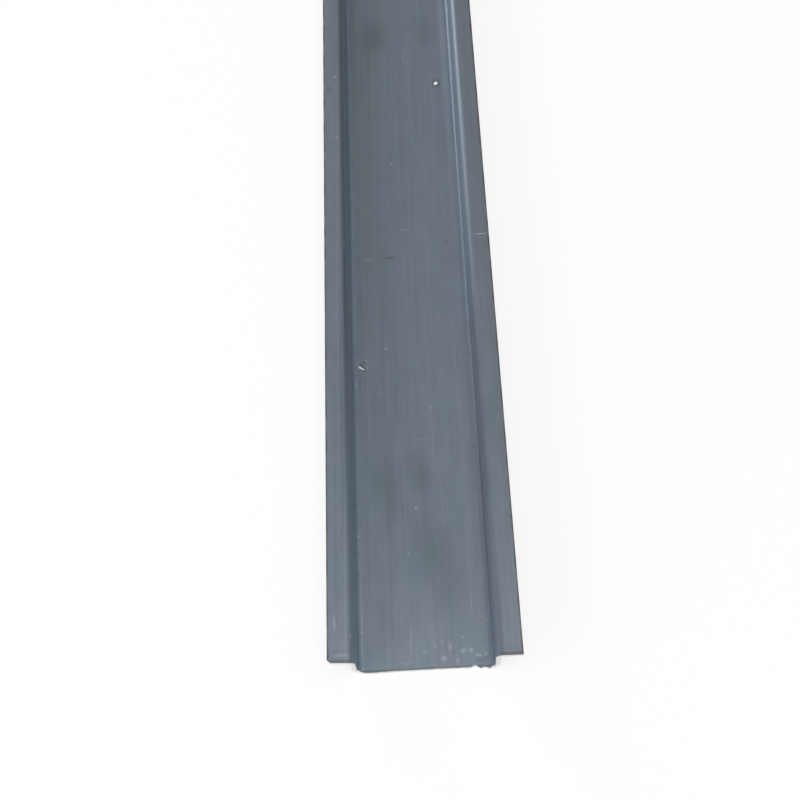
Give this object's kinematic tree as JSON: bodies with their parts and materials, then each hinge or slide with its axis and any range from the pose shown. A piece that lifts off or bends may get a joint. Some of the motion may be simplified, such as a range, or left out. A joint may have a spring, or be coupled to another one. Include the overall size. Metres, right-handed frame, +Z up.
{
  "type": "din rail",
  "caption": "Plain top-hat mounting rail of roll-formed galvanised steel strip, with a flat web, two upright walls and two flanges that control-panel devices clip onto.",
  "frame": {"origin": "on the back of the web, in the middle of the rail's width and length", "axes": "+X across the rail, +Y along it towards the far end, +Z up, from the back of the web to the open side of the channel"},
  "size_m": [0.035, 1, 0.0075],
  "materials": {
    "zinc_strip": "weathered zinc plating, dark blue-grey, satin, with rolling lines along the length"
  },
  "bodies": {
    "root": {"rail": "zinc_strip"}
  },
  "joints": []
}
